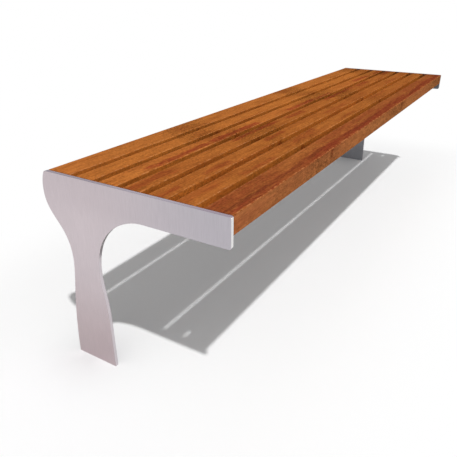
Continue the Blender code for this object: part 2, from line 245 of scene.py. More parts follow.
# The plate's outline from the back of the foot round to its front: each knot's place and its handles
# before and after, whose lengths are shares of the rise or reach next to them
outline = [
    (foot_back, None, foot_back + leg_rise * 0.53),
    (neck_back, neck_back - leg_rise * 0.18, neck_back + shoulder_rise * 0.56),
    (bulge, bulge - shoulder_rise * 0.42, bulge + crest_rise),
    *turn_corner(crest, crest_way, ahead, crest_radius, crest_rise.length),
    *turn_corner(Vector((seat_front, seat_top)), ahead, -up, front_top_radius),
    *turn_corner(Vector((seat_front, arm_bottom)), -up, -ahead, front_bottom_radius),
    (arm_end, None, arm_end - ahead * under_arm_reach * 0.35),
    (neck_front, neck_front + arm_fall * 0.75, neck_front - ankle_fall * 0.28),
    (ankle, ankle + ankle_fall * 0.43, None),
    (foot_front, None, None),
]

bpy.ops.object.select_all(action="DESELECT")
bpy.ops.curve.primitive_bezier_curve_add()
left_plate = bpy.context.object
left_plate.data.dimensions = "2D"
left_plate.data.fill_mode = "BOTH"
left_plate.data.extrude = plate_thickness / 2
left_plate.data.resolution_u = outline_steps
spline = left_plate.data.splines[0]
spline.use_cyclic_u = True
spline.bezier_points.add(len(outline) - len(spline.bezier_points))
for point, (place, handle_in, handle_out) in zip(spline.bezier_points, outline):
    point.co = (*place, 0.0)
    point.handle_left_type = "VECTOR" if handle_in is None else "FREE"
    point.handle_right_type = "VECTOR" if handle_out is None else "FREE"
    if handle_in is not None:
        point.handle_left = (*handle_in, 0.0)
    if handle_out is not None:
        point.handle_right = (*handle_out, 0.0)
left_plate.rotation_euler = (math.pi / 2, 0.0, math.pi / 2)
left_plate.location.x = plate_middle
bpy.ops.object.convert(target="MESH")
apply_place()
bpy.ops.object.mode_set(mode="EDIT")
bpy.ops.mesh.select_all(action="SELECT")
bpy.ops.mesh.remove_doubles(threshold=outline_spacing)
bpy.ops.mesh.dissolve_limited(angle_limit=flat_angle)
round_edges(left_plate, is_sharp, rim_round, rim_steps)
close_shape()
smooth_rounds(left_plate)


def add_node(tree, kind, inputs=None, **options):
    """Add a node, set its options, and set or link its inputs by name or number."""
    node = tree.nodes.new(kind)
    for option, value in options.items():
        setattr(node, option, value)
    for key, value in (inputs or {}).items():
        if isinstance(value, bpy.types.NodeSocket):
            tree.links.new(value, node.inputs[key])
        else:
            node.inputs[key].default_value = value
    return node


def calculate(tree, operation, first, second=0.0):
    """The result of a Math node."""
    return add_node(tree, "ShaderNodeMath", {0: first, 1: second}, operation=operation).outputs[0]


def multiply(tree, *values):
    """The product of several values."""
    product = values[0]
    for value in values[1:]:
        product = calculate(tree, "MULTIPLY", product, value)
    return product


def fade(tree, value, low, high, at_low=0.0, at_high=1.0):
    """A value eased from at_low to at_high as another goes from low to high."""
    inputs = {"Value": value, "From Min": low, "From Max": high, "To Min": at_low, "To Max": at_high}
    return add_node(tree, "ShaderNodeMapRange", inputs, interpolation_type="SMOOTHSTEP").outputs["Result"]


def mix_colours(tree, share, first, second, way="MIX"):
    """One colour mixed into another by a share; colours may be three numbers."""
    first = (*first, 1.0) if isinstance(first, tuple) else first
    second = (*second, 1.0) if isinstance(second, tuple) else second
    inputs = {0: share, 6: first, 7: second}
    return add_node(tree, "ShaderNodeMix", inputs, data_type="RGBA", blend_type=way).outputs[2]


def vector_math(tree, operation, first, second=(0.0, 0.0, 0.0), output="Vector"):
    """What a Vector Math node puts out: a vector, or a number if its Value is asked for."""
    inputs = {0: first, 1: second}
    return add_node(tree, "ShaderNodeVectorMath", inputs, operation=operation).outputs[output]


def tone_colour(tree, surface, tone):
    """A colour made lighter or darker by a tone about 1."""
    inputs = {0: surface, "Scale": tone}
    return add_node(tree, "ShaderNodeVectorMath", inputs, operation="SCALE").outputs[0]


def stretched_noise(tree, vector, stretch, seed, detail):
    """The outputs of a noise that is stretched along the axes and differs from seed to seed."""
    inputs = {
        "Vector": vector_math(tree, "MULTIPLY", vector, stretch),
        "W": seed,
        "Scale": 1.0,
        "Detail": detail,
    }
    return add_node(tree, "ShaderNodeTexNoise", inputs, noise_dimensions="4D").outputs


def add_bump(tree, shader, height, strength, distance):
    """Give a shader a fine relief."""
    inputs = {"Height": height, "Strength": strength, "Distance": distance}
    tree.links.new(add_node(tree, "ShaderNodeBump", inputs).outputs[0], shader["Normal"])


def new_group(name, inputs, outputs):
    """An empty node group with named sockets: its tree, and its input and output nodes."""
    tree = bpy.data.node_groups.new(name, "ShaderNodeTree")
    for way, sockets in (("INPUT", inputs), ("OUTPUT", outputs)):
        for socket in sockets:
            kind = "NodeSocketVector" if socket in vector_sockets else "NodeSocketFloat"
            tree.interface.new_socket(socket, in_out=way, socket_type=kind)
    return tree, tree.nodes.new("NodeGroupInput").outputs, tree.nodes.new("NodeGroupOutput").inputs


def new_material(name):
    """A material with its node tree, its shader and the object's own coordinates."""
    material = bpy.data.materials.new(name)
    material.use_nodes = True
    tree = material.node_tree
    place = add_node(tree, "ShaderNodeTexCoord").outputs["Object"]
    return material, tree, tree.nodes["Principled BSDF"].inputs, place


# Drawn lines: streaks that run far one way and are fine the other, as brushing and wood fibre are
vector_sockets = ("Vector", "Stretch", "Drifted")
line_sockets = ("Vector", "Stretch", "Seed", "Detail")
drawn_lines, lines_in, lines_out = new_group("drawn_lines", line_sockets, ("Lines",))
drawn = stretched_noise(drawn_lines, *[lines_in[socket] for socket in line_sockets])["Fac"]
drawn_lines.links.new(drawn, lines_out["Lines"])


def lines_value(tree, vector, stretch, seed=0.0, detail=2.0):
    """Drawn lines placed in a tree: a value about 0.5."""
    inputs = {"Vector": vector, "Stretch": stretch, "Seed": seed, "Detail": detail}
    return add_node(tree, "ShaderNodeGroup", inputs, node_tree=drawn_lines).outputs["Lines"]


brushed_steel, tree, shader, place = new_material("brushed_steel")
axes = add_node(tree, "ShaderNodeSeparateXYZ", {0: place}).outputs
from_middle = calculate(tree, "SUBTRACT", calculate(tree, "ABSOLUTE", axes["X"]), abs(plate_middle))
off_middle = calculate(tree, "ABSOLUTE", from_middle)
rim = fade(tree, off_middle, plate_thickness / 2, plate_thickness / 2 - rim_round)
brushing = lines_value(tree, place, (40.0, 1100.0, 34.0), detail=3.0)
brush_bands = lines_value(tree, place, (20.0, 260.0, 8.0), seed=4.0)
cloud = lines_value(tree, place, (6.0, 6.0, 6.0), seed=9.0)
# Painted reflection on the outer faces: tinted from front to back, and darker towards the top and towards
# the foot
toward_back = fade(tree, axes["Y"], seat_front, face_warm_end)
face_colour = mix_colours(tree, toward_back, steel_front_painted_reflection, steel_back_painted_reflection)
toward_top = fade(tree, axes["Z"], *face_top_fade)
face_colour = mix_colours(tree, toward_top, face_colour, steel_top_painted_reflection, "MULTIPLY")
toward_foot = fade(tree, axes["Z"], *face_foot_fade)
face_colour = mix_colours(tree, toward_foot, face_colour, steel_foot_painted_reflection, "MULTIPLY")
# The inner faces: painted shade, darker in the arm, and a brown painted reflection of the slats near
# their ends
inside = fade(tree, from_middle, plate_thickness * 0.1, -plate_thickness * 0.4)
up_inside = fade(tree, axes["Z"], inside_leg_top, arm_bottom)
inside_painted_shade = mix_colours(tree, up_inside, steel_inside_leg_painted_shade, steel_inside_arm_painted_shade)
slat_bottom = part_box("seat_slat_1")[0].z
by_slats = fade(tree, axes["Z"], slat_bottom - slat_shade_reach, slat_bottom + slat_shade_reach)
inside_painted_shade = mix_colours(tree, by_slats, inside_painted_shade, steel_inside_painted_wood_reflection)
face_colour = mix_colours(tree, inside, face_colour, inside_painted_shade)
tone = multiply(
    tree,
    fade(tree, brushing, 0.25, 0.75, *brush_tone),
    fade(tree, brush_bands, 0.25, 0.75, *band_tone),
    fade(tree, cloud, 0.3, 0.7, *cloud_tone),
)
# The rim's colour is painted reflection and shade, changing along the rim, darker on the leg and on the
# far plate
toward_back_rim = fade(tree, axes["Y"], *back_rim_fade)
rim_painted_reflection = mix_colours(tree, toward_back_rim, middle_crest_painted_reflection, back_rim_painted_reflection)
on_crest = fade(tree, axes["Z"], seat_top - front_top_radius, seat_top - rim_round)
front_colour = mix_colours(tree, on_crest, front_rim_painted_reflection, front_crest_painted_reflection)
rim_painted_reflection = mix_colours(tree, fade(tree, axes["Y"], *front_rim_fade), rim_painted_reflection, front_colour)
by_crest = fade(tree, axes["Y"], crest.x - crest_lean, crest.x)
rim_painted_reflection = mix_colours(tree, by_crest, rim_painted_reflection, crest_rim_painted_shade)
rim_painted_reflection = mix_colours(tree, fade(tree, axes["Z"], leg_rim_top, arm_bottom), leg_rim_painted_shade, rim_painted_reflection)
far_rim_shade_tone = fade(tree, axes["X"], -plate_thickness, plate_thickness, 1.0, far_rim_painted_shade)
rim_painted_reflection = tone_colour(tree, rim_painted_reflection, far_rim_shade_tone)
steel_colour = mix_colours(tree, rim, tone_colour(tree, face_colour, tone), rim_painted_reflection)
tree.links.new(steel_colour, shader["Base Color"])
face_roughness = fade(tree, brushing, 0.2, 0.8, *brushed_roughness)
tree.links.new(fade(tree, rim, 0.0, 1.0, face_roughness, rim_roughness), shader["Roughness"])
add_bump(tree, shader, brushing, 0.05, 0.0002)
shader["Metallic"].default_value = 1.0

left_plate.data.materials.append(brushed_steel)
plate_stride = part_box("end_plate_right")[0].x - plate_low.x
right_plate = copy_piece(left_plate, "right_plate", (plate_stride, 0.0, 0.0))
place_piece(left_plate, "end_plate_left")
place_piece(right_plate, "end_plate_right")


# Brackets: one under each end of each slat, folded from thick galvanised strip, with a hole for a
# coach screw. The short leg is welded to the inner face of the end plate along both its sides.
slat_count = 7
bracket_low, bracket_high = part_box("slat_bracket_left_1")
bracket_sheet = 0.005
bracket_bend = 0.006
bracket_corner = 0.006
bracket_rim = 0.0006
bracket_hole = 0.009
weld_radius = 0.0018
weld_ripple = 0.0011
weld_dip = 0.82
weld_end = 0.4
weld_sides = 12
weld_heat_start = 0.882
weld_heat_end = 0.8905
weld_heat = 0.75
hole_sides = 32
touch = 0.00001
zinc_pale = (0.60, 0.61, 0.62)
zinc_dark = (0.42, 0.43, 0.445)
weld_tint = (0.30, 0.27, 0.25)
zinc_roughness = (0.42, 0.56)
bracket_crystals = 210.0


def at(value, target):
    """True where two places along an axis are the same."""
    return abs(value - target) < touch


def combine(piece, other, operation):
    """Cut one object out of another, or unite them, and take the second one away."""
    bpy.ops.object.select_all(action="DESELECT")
    piece.select_set(True)
    bpy.context.view_layer.objects.active = piece
    joint = piece.modifiers.new("joint", "BOOLEAN")
    joint.operation = operation
    joint.solver = "EXACT"
    joint.object = other
    bpy.ops.object.modifier_apply(modifier=joint.name)
    bpy.data.objects.remove(other)


def drill(piece, holes):
    """Drill upright holes, each given as (x, y, low z, high z, diameter)."""
    drills = []
    for x, y, low_z, high_z, diameter in holes:
        bpy.ops.object.select_all(action="DESELECT")
        bpy.ops.mesh.primitive_cylinder_add(
            vertices=hole_sides,
            radius=diameter / 2,
            depth=high_z - low_z,
            location=(x, y, (low_z + high_z) / 2),
        )
        apply_place()
        drills.append(bpy.context.object)
    for one in drills:
        one.select_set(True)
    if len(drills) > 1:
        bpy.ops.object.join()
    combine(piece, bpy.context.object, "DIFFERENCE")


def flat_sheet(low, high):
    """A flat sheet at the top of a box, in edit mode."""
    middle = (low + high) / 2
    bpy.ops.object.select_all(action="DESELECT")
    bpy.ops.mesh.primitive_plane_add(size=1.0, location=(middle.x, middle.y, high.z))
    piece = bpy.context.object
    piece.scale = (high.x - low.x, high.y - low.y, 1.0)
    apply_place()
    bpy.ops.object.mode_set(mode="EDIT")
    return piece


def fold_down(piece, axis, side, drop):
    """In edit mode, draw a leg down from a sheet's edge, found by its place along axis 0 or 1."""
    pick(piece, "EDGE", lambda edge: all(at(vert.co[axis], side) for vert in edge.verts))
    bpy.ops.mesh.extrude_region_move(TRANSFORM_OT_translate={"value": (0.0, 0.0, -drop)})


def thicken(piece, sheet, rim):
    """Give a folded sheet its thickness below and inside, and break its cut edges."""
    if piece.data.polygons[0].normal.z < 0.0:
        piece.data.flip_normals()
    wall = piece.modifiers.new("sheet", "SOLIDIFY")
    wall.thickness = sheet
    wall.offset = -1.0
    wall.use_even_offset = True
    bpy.ops.object.modifier_apply(modifier=wall.name)
    bpy.ops.object.mode_set(mode="EDIT")
    round_edges(piece, is_sharp, rim, 2)
    bpy.ops.object.mode_set(mode="OBJECT")


def turned_shape(profile, sides, place):
    """A closed shape about an upright axis, extruded ring by ring from (radius, height) pairs."""
    radius, height = profile[0]
    bpy.ops.object.select_all(action="DESELECT")
    bpy.ops.mesh.primitive_circle_add(
        vertices=sides,
        radius=radius,
        fill_type="NGON",
        location=(*place, height),
    )
    piece = bpy.context.object
    apply_place()
    bpy.ops.object.mode_set(mode="EDIT")
    bpy.ops.mesh.select_mode(type="FACE")
    bpy.ops.mesh.select_all(action="SELECT")
    for next_radius, next_height in profile[1:]:
        rise = (0.0, 0.0, next_height - height)
        share = next_radius / radius
        bpy.ops.mesh.extrude_region_move(TRANSFORM_OT_translate={"value": rise})
        bpy.ops.transform.resize(value=(share, share, 1.0), center_override=(*place, next_height))
        radius, height = next_radius, next_height
    close_shape()
    return piece


def screw_axis(node):
    """Where a screw's axis is, and the height of its tip."""
    low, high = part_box(node)
    return (low.x + high.x) / 2, (low.y + high.y) / 2, high.z


bracket_height = bracket_high.z - bracket_low.z
bracket = flat_sheet(bracket_low, bracket_high)
fold_down(bracket, 0, bracket_low.x, bracket_height)
pick(bracket, "VERT", lambda vert: at(vert.co.x, bracket_high.x))
bpy.ops.mesh.bevel(offset=bracket_corner, segments=4, affect="VERTICES")
round_edges(bracket, is_sharp, bracket_bend, 6)
close_shape()
thicken(bracket, bracket_sheet, bracket_rim)
screw_x, screw_y, screw_tip = screw_axis("coach_screw_left_1")
drill(bracket, [(screw_x, screw_y, bracket_low.z, screw_tip, bracket_hole)])
weld_steps = round((bracket_height - bracket_bend) / weld_ripple)
weld = [(weld_radius * weld_end, bracket_low.z + touch)]
for step in range(1, weld_steps):
    swell = 1.0 if step % 2 else weld_dip
    weld.append((weld_radius * swell, bracket_low.z + step * weld_ripple))
weld.append((weld_radius * weld_end, bracket_low.z + weld_steps * weld_ripple))
for weld_y in (bracket_low.y, bracket_high.y):
    bead = turned_shape(weld, weld_sides, (bracket_low.x, weld_y))
    combine(bracket, bead, "UNION")
smooth_rounds(bracket)

# Spangle: the pale and dark crystals of a zinc coating, with a cloudy tone over them
crystal_share = 0.55
zinc_cloud_share = 0.45
zinc_spangle, spangle_in, spangle_out = new_group("zinc_spangle", ("Vector", "Crystals"), ("Tone",))
crystals = add_node(
    zinc_spangle,
    "ShaderNodeTexVoronoi",
    {"Vector": spangle_in["Vector"], "Scale": spangle_in["Crystals"]},
)
crystal_colour = crystals.outputs["Color"]
crystal_tone = add_node(zinc_spangle, "ShaderNodeSeparateColor", {0: crystal_colour}).outputs[0]
zinc_cloud = lines_value(zinc_spangle, spangle_in["Vector"], (25.0, 25.0, 25.0), detail=4.0)
crystal_part = multiply(zinc_spangle, crystal_tone, crystal_share)
cloud_part = multiply(zinc_spangle, zinc_cloud, zinc_cloud_share)
spangle = calculate(zinc_spangle, "ADD", crystal_part, cloud_part)
zinc_spangle.links.new(spangle, spangle_out["Tone"])


def zinc_material(name, crystals):
    """Galvanised steel with crystals of a given fineness; its tree, shader, places and tone."""
    material, tree, shader, place = new_material(name)
    inputs = {"Vector": place, "Crystals": crystals}
    tone = add_node(tree, "ShaderNodeGroup", inputs, node_tree=zinc_spangle).outputs["Tone"]
    tree.links.new(fade(tree, tone, 0.2, 0.8, *zinc_roughness), shader["Roughness"])
    add_bump(tree, shader, tone, 0.12, 0.0004)
    shader["Metallic"].default_value = 1.0
    return material, tree, shader, place, mix_colours(tree, tone, zinc_dark, zinc_pale)


bracket_zinc, tree, shader, place, coating = zinc_material("galvanised_bracket", bracket_crystals)
axes = add_node(tree, "ShaderNodeSeparateXYZ", {0: place}).outputs
off_centre = calculate(tree, "ABSOLUTE", axes["X"])
by_weld = fade(tree, off_centre, weld_heat_start, weld_heat_end, 0.0, weld_heat)
tree.links.new(mix_colours(tree, by_weld, coating, weld_tint), shader["Base Color"])
bracket.data.materials.append(bracket_zinc)
for number in range(2, slat_count + 1):
    node = f"slat_bracket_left_{number}"
    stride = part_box(node)[0].y - bracket_low.y
    place_piece(copy_piece(bracket, node, (0.0, stride, 0.0)), node)
for number in range(1, slat_count + 1):
    node = f"slat_bracket_right_{number}"
    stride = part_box(node)[1].y + bracket_low.y
    place_piece(copy_piece(bracket, node, (0.0, stride, 0.0), math.pi), node)
place_piece(bracket, "slat_bracket_left_1")


# Bearers: three channels of folded galvanised sheet that run under the slats from end to end. They lie
# on the brackets with their flanges down, and are drilled for the screws that go up into the slats.
bearer_sheet = 0.003
bearer_bend = 0.004
bearer_rim = 0.0004
coach_hole = 0.009
wood_screw_hole = 0.006
bearer_crystals = 95.0
rolling_tone = (0.94, 1.05)
bearer_slats = {"front_bearer": (1, 2), "centre_bearer": (3, 4, 5, 6), "rear_bearer": (7,)}

bearer_zinc, tree, shader, place, coating = zinc_material("galvanised_bearer", bearer_crystals)
rolling = lines_value(tree, place, (1.5, 160.0, 160.0), seed=2.0)
rolled = tone_colour(tree, coating, fade(tree, rolling, 0.3, 0.7, *rolling_tone))
tree.links.new(rolled, shader["Base Color"])

for node, carried in bearer_slats.items():
    low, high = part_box(node)
    bearer = flat_sheet(low, high)
    for side in (low.y, high.y):
        fold_down(bearer, 1, side, high.z - low.z)
    round_edges(bearer, is_sharp, bearer_bend, 5)
    close_shape()
    thicken(bearer, bearer_sheet, bearer_rim)
    holes = []
    for number in carried:
        for screw, diameter in (("coach_screw", coach_hole), ("wood_screw", wood_screw_hole)):
            for end in ("left", "right"):
                screw_x, screw_y, screw_tip = screw_axis(f"{screw}_{end}_{number}")
                holes.append((screw_x, screw_y, low.z, screw_tip, diameter))
    drill(bearer, holes)
    smooth_rounds(bearer)
    bearer.data.materials.append(bearer_zinc)
    place_piece(bearer, node)


# Seat slats: seven boards of oiled hardwood, planed and with rounded long edges, rounder below on all
# but the front one. They lie side by side from plate to plate and are screwed from below, so no fixing
# shows on top.
slat_arris = 0.0015
slat_lower_round = 0.0055
slat_end_round = 0.0008
pilot_clearance = 0.0006
pilot_depth_clearance = 0.001
coach_shank = 0.008
wood_screw_shank = 0.005
timber_pale = (0.470, 0.154, 0.033)
timber_mid = (0.408, 0.129, 0.027)
timber_deep = (0.343, 0.101, 0.021)
timber_heart = (0.268, 0.050, 0.016)
timber_dark = (0.175, 0.036, 0.012)
timber_worn = (0.560, 0.230, 0.085)
timber_end = (0.100, 0.045, 0.020)
# Painted light and shade on the sides: darker where a side is open to the air, lighter where it faces a
# gap
gap_side_painted_light = Vector((1.21, 1.20, 0.92))
open_side_painted_shade = Vector((0.775, 0.885, 1.11))
knot_tint = (0.68, 0.54, 0.54)
knot_places = (0.455, 1.105, 1.755)
knot_height = 0.431
gap_knot = (0.018, 0.010)
front_knot = (0.011, 0.026)
knot_fade = (1.6, 0.7)
board_seed_step = 3.7
streak_seed_step = 0.9
grain_tone = (0.81, 1.19)
lines_tone = (0.90, 1.10)
fibre_tone = (0.88, 1.12)
pore_tone = 0.72
timber_roughness = (0.66, 0.54)
mottle_core = 0.3
worn_start = 0.004
worn_full = 0.001
worn_share = 0.6
side_turn = 0.01
front_fleck_depth = 0.10
gap_fleck_depth = 0.06
# Painted light on the sides facing a gap, growing towards the right end
far_gap_light_fade = (-0.4, 0.2)
far_gap_painted_light = 1.12
end_grain_reach = 0.0025
end_grain_share = 0.3

# Timber grain: long fibres that drift across a board, their pores, and slower changes of tone
drift_reach = (0.0, 0.03, 0.03)
timber_grain, grain_in, grain_out = new_group(
    "timber_grain",
    ("Vector", "Seed"),
    ("Drifted", "Figure", "Grain", "Lines", "Fibre", "Pores", "Redness"),
)
drift = stretched_noise(timber_grain, grain_in["Vector"], (3.0, 9.0, 9.0), grain_in["Seed"], 1.0)["Color"]
drift = vector_math(timber_grain, "SUBTRACT", drift, (0.5, 0.5, 0.5))
drift = vector_math(timber_grain, "MULTIPLY", drift, drift_reach)
drifted = vector_math(timber_grain, "ADD", grain_in["Vector"], drift)
timber_grain.links.new(drifted, grain_out["Drifted"])
for output, stretch, detail in (
    ("Figure", (9.0, 75.0, 75.0), 3.0),
    ("Grain", (210.0, 270.0, 270.0), 2.0),
    ("Lines", (24.0, 330.0, 330.0), 2.0),
    ("Fibre", (30.0, 800.0, 800.0), 2.0),
    ("Redness", (3.5, 26.0, 26.0), 3.0),
):
    drawn = lines_value(timber_grain, drifted, stretch, grain_in["Seed"], detail)
    timber_grain.links.new(drawn, grain_out[output])
pore_lines = lines_value(timber_grain, drifted, (70.0, 700.0, 700.0), grain_in["Seed"], 1.0)
timber_grain.links.new(fade(timber_grain, pore_lines, 0.60, 0.70), grain_out["Pores"])

# Heart streak: one ragged streak of red heartwood along a board, tapered at both ends
streak_sway = 3.0
streak_outer = 1.40
streak_inner = 0.40
streak_taper = 0.16
heart_streak, streak_in, streak_out = new_group(
    "heart_streak",
    ("Vector", "Start", "End", "Across", "Width", "Seed"),
    ("Mask",),
)
streak_axes = add_node(heart_streak, "ShaderNodeSeparateXYZ", {0: streak_in["Vector"]}).outputs
ragged = lines_value(heart_streak, streak_in["Vector"], (26.0, 150.0, 60.0), streak_in["Seed"], 4.0)
sway = calculate(heart_streak, "SUBTRACT", ragged, 0.5)
sway = multiply(heart_streak, sway, streak_in["Width"], streak_sway)
off_line = calculate(heart_streak, "SUBTRACT", streak_axes["Y"], streak_in["Across"])
off_line = calculate(heart_streak, "ABSOLUTE", calculate(heart_streak, "ADD", off_line, sway))
outer = multiply(heart_streak, streak_in["Width"], streak_outer)
inner = multiply(heart_streak, streak_in["Width"], streak_inner)
across_share = fade(heart_streak, off_line, outer, inner)
reach = calculate(heart_streak, "SUBTRACT", streak_in["End"], streak_in["Start"])
reach = multiply(heart_streak, reach, streak_taper)
start_end = calculate(heart_streak, "ADD", streak_in["Start"], reach)
end_start = calculate(heart_streak, "SUBTRACT", streak_in["End"], reach)
from_start = fade(heart_streak, streak_axes["X"], streak_in["Start"], start_end)
to_end = fade(heart_streak, streak_axes["X"], streak_in["End"], end_start)
broken = lines_value(heart_streak, streak_in["Vector"], (45.0, 240.0, 240.0), streak_in["Seed"], 3.0)
broken = fade(heart_streak, broken, 0.34, 0.56, 0.45, 1.0)
streak = multiply(heart_streak, across_share, from_start, to_end, broken)
heart_streak.links.new(streak, streak_out["Mask"])

# Each board's lightness, tint and redness; the mottled places on its top and on its sides, as (middle,
# reach, how much darker), where the darker places on the sides at the right end are painted shade; and
# the heartwood and dark lines on its top, as (start, end, distance from the seat's front edge, half
# width, depth). Places along a board are measured from the bench's left end.
boards = [
    {
        "lightness": 0.87,
        "tint": (1.00, 1.00, 1.24),
        "redness": 0.40,
        "mottles": [(1.80, 0.08, 0.18)],
        "side mottles and painted shade": [
            (0.05, 0.16, -0.16),
            (0.41, 0.13, 0.20),
            (0.63, 0.14, -0.10),
            (1.04, 0.12, 0.20),
            (1.32, 0.13, -0.10),
            (1.66, 0.13, 0.20),
        ],
        "heartwood": [
            (-0.10, 0.27, 0.042, 0.020, 0.60),
            (-0.20, 0.24, 0.007, 0.009, 0.90),
            (0.16, 2.00, 0.012, 0.017, 1.00),
            (0.44, 0.98, 0.047, 0.013, 0.55),
            (1.26, 1.60, 0.045, 0.013, 0.55),
        ],
        "dark lines": [
            (-0.20, 0.20, 0.0175, 0.0050, 0.78),
            (0.55, 0.95, 0.020, 0.0045, 0.60),
            (0.10, 0.48, 0.020, 0.0055, 0.65),
            (1.22, 1.56, 0.018, 0.0045, 0.55),
            (1.64, 1.90, 0.018, 0.0050, 0.40),
        ],
    },
    {
        "lightness": 0.95,
        "tint": (1.00, 1.01, 1.03),
        "redness": 0.25,
        "mottles": [(0.09, 0.09, -0.13), (0.50, 0.12, 0.08), (1.11, 0.12, 0.10), (1.80, 0.12, 0.28)],
        "side mottles and painted shade": [(1.80, 0.16, 0.37), (1.80, 0.05, 0.30)],
        "heartwood": [
            (0.00, 0.13, 0.098, 0.006, 0.30),
            (0.17, 0.34, 0.091, 0.009, 0.60),
            (0.44, 0.62, 0.106, 0.009, 0.55),
            (0.70, 0.90, 0.088, 0.007, 0.35),
            (1.10, 1.30, 0.106, 0.009, 0.45),
        ],
        "dark lines": [],
    },
    {
        "lightness": 0.96,
        "tint": (1.00, 1.00, 1.00),
        "redness": 0.25,
        "mottles": [(0.46, 0.06, 0.10), (1.08, 0.06, 0.10), (1.80, 0.10, 0.14)],
        "side mottles and painted shade": [(1.80, 0.16, 0.37), (1.80, 0.05, 0.30)],
        "heartwood": [
            (-0.05, 0.08, 0.150, 0.008, 0.70),
            (0.14, 0.26, 0.148, 0.009, 0.65),
            (0.42, 0.55, 0.163, 0.008, 0.65),
            (0.78, 1.00, 0.151, 0.009, 0.45),
            (1.42, 1.60, 0.149, 0.008, 0.45),
        ],
        "dark lines": [],
    },
    {
        "lightness": 0.96,
        "tint": (1.00, 1.00, 1.00),
        "redness": 0.25,
        "mottles": [(0.49, 0.14, 0.24), (1.14, 0.14, 0.26), (1.74, 0.14, 0.22), (1.80, 0.07, 0.10)],
        "side mottles and painted shade": [(1.81, 0.10, 0.20), (1.80, 0.05, 0.30)],
        "heartwood": [
            (-0.05, 0.16, 0.222, 0.012, 0.65),
            (0.37, 0.65, 0.230, 0.010, 1.00),
            (0.67, 0.80, 0.222, 0.010, 0.85),
            (0.97, 1.30, 0.229, 0.010, 1.00),
            (1.30, 1.46, 0.224, 0.010, 0.80),
            (1.66, 1.85, 0.228, 0.010, 0.75),
        ],
        "dark lines": [],
    },
    {
        "lightness": 1.17,
        "tint": (0.99, 1.02, 1.03),
        "redness": 0.20,
        "mottles": [(0.44, 0.14, 0.16), (1.03, 0.20, 0.28), (1.70, 0.20, 0.28), (1.80, 0.07, 0.12)],
        "side mottles and painted shade": [(1.80, 0.06, 0.30)],
        "heartwood": [
            (0.09, 0.37, 0.267, 0.009, 1.00),
            (0.34, 0.50, 0.267, 0.012, 1.00),
            (0.46, 0.60, 0.266, 0.010, 1.00),
            (0.76, 1.00, 0.267, 0.010, 1.00),
            (0.98, 1.14, 0.263, 0.011, 0.85),
            (1.40, 1.62, 0.269, 0.009, 0.95),
            (1.65, 1.78, 0.267, 0.009, 0.80),
        ],
        "dark lines": [(0.08, 0.62, 0.266, 0.008, 0.22), (0.75, 1.15, 0.266, 0.008, 0.15)],
    },
    {
        "lightness": 1.11,
        "tint": (1.01, 1.04, 1.03),
        "redness": 0.08,
        "mottles": [(0.405, 0.09, 0.24), (1.06, 0.10, 0.22), (1.74, 0.14, 0.26)],
        "side mottles and painted shade": [(1.80, 0.05, 0.30)],
        "heartwood": [(0.38, 0.45, 0.335, 0.018, 0.25), (1.00, 1.08, 0.335, 0.018, 0.25)],
        "dark lines": [],
    },
    {
        "lightness": 1.10,
        "tint": (0.99, 1.03, 1.07),
        "redness": 0.08,
        "mottles": [
            (0.05, 0.14, -0.08),
            (0.44, 0.12, 0.22),
            (1.08, 0.11, 0.22),
            (1.76, 0.14, 0.26),
            (1.80, 0.08, 0.16),
        ],
        "side mottles and painted shade": [(1.80, 0.05, 0.30)],
        "heartwood": [(0.39, 0.46, 0.413, 0.018, 0.25), (1.01, 1.10, 0.410, 0.018, 0.25)],
        "dark lines": [],
    },
]


def add_mottles(tree, tone, along, flecks, mottles):
    """A tone made flecked and darker at each mottled place along a board, or lighter."""
    for middle, reach, depth in mottles:
        off_middle = calculate(tree, "SUBTRACT", along, middle + cad_box[0].x)
        off_middle = calculate(tree, "ABSOLUTE", off_middle)
        mottle = fade(tree, off_middle, reach * mottle_core, reach, depth, 0.0)
        mottle = multiply(tree, mottle, flecks)
        tone = multiply(tree, tone, calculate(tree, "SUBTRACT", 1.0, mottle))
    return tone


def add_streaks(tree, wood, grain, on_top, board, seed):
    """A board's colour with its heartwood and dark lines drawn on its top."""
    for streaks, colour in (("heartwood", timber_heart), ("dark lines", timber_dark)):
        for start, end, across, width, depth in board[streaks]:
            inputs = {
                "Vector": grain["Drifted"],
                "Start": start + cad_box[0].x,
                "End": end + cad_box[0].x,
                "Across": across + cad_box[0].y,
                "Width": width,
                "Seed": seed,
            }
            mask = add_node(tree, "ShaderNodeGroup", inputs, node_tree=heart_streak).outputs["Mask"]
            wood = mix_colours(tree, multiply(tree, mask, on_top, depth), wood, colour)
            seed += streak_seed_step
    return wood


def add_knots(tree, side, place, figure, on_front, size):
    """A side's tint with the knots on a board's front side, each of a given length and width."""
    shrink = (1.0 / size[0], 0.0, 1.0 / size[1])
    for knot_x in knot_places:
        off_knot = vector_math(tree, "SUBTRACT", place, (knot_x + cad_box[0].x, 0.0, knot_height))
        off_knot = vector_math(tree, "MULTIPLY", off_knot, shrink)
        off_knot = vector_math(tree, "LENGTH", off_knot, output="Value")
        off_knot = calculate(tree, "ADD", off_knot, figure)
        knot = multiply(tree, fade(tree, off_knot, *knot_fade), on_front)
        side = mix_colours(tree, knot, side, knot_tint, "MULTIPLY")
    return side


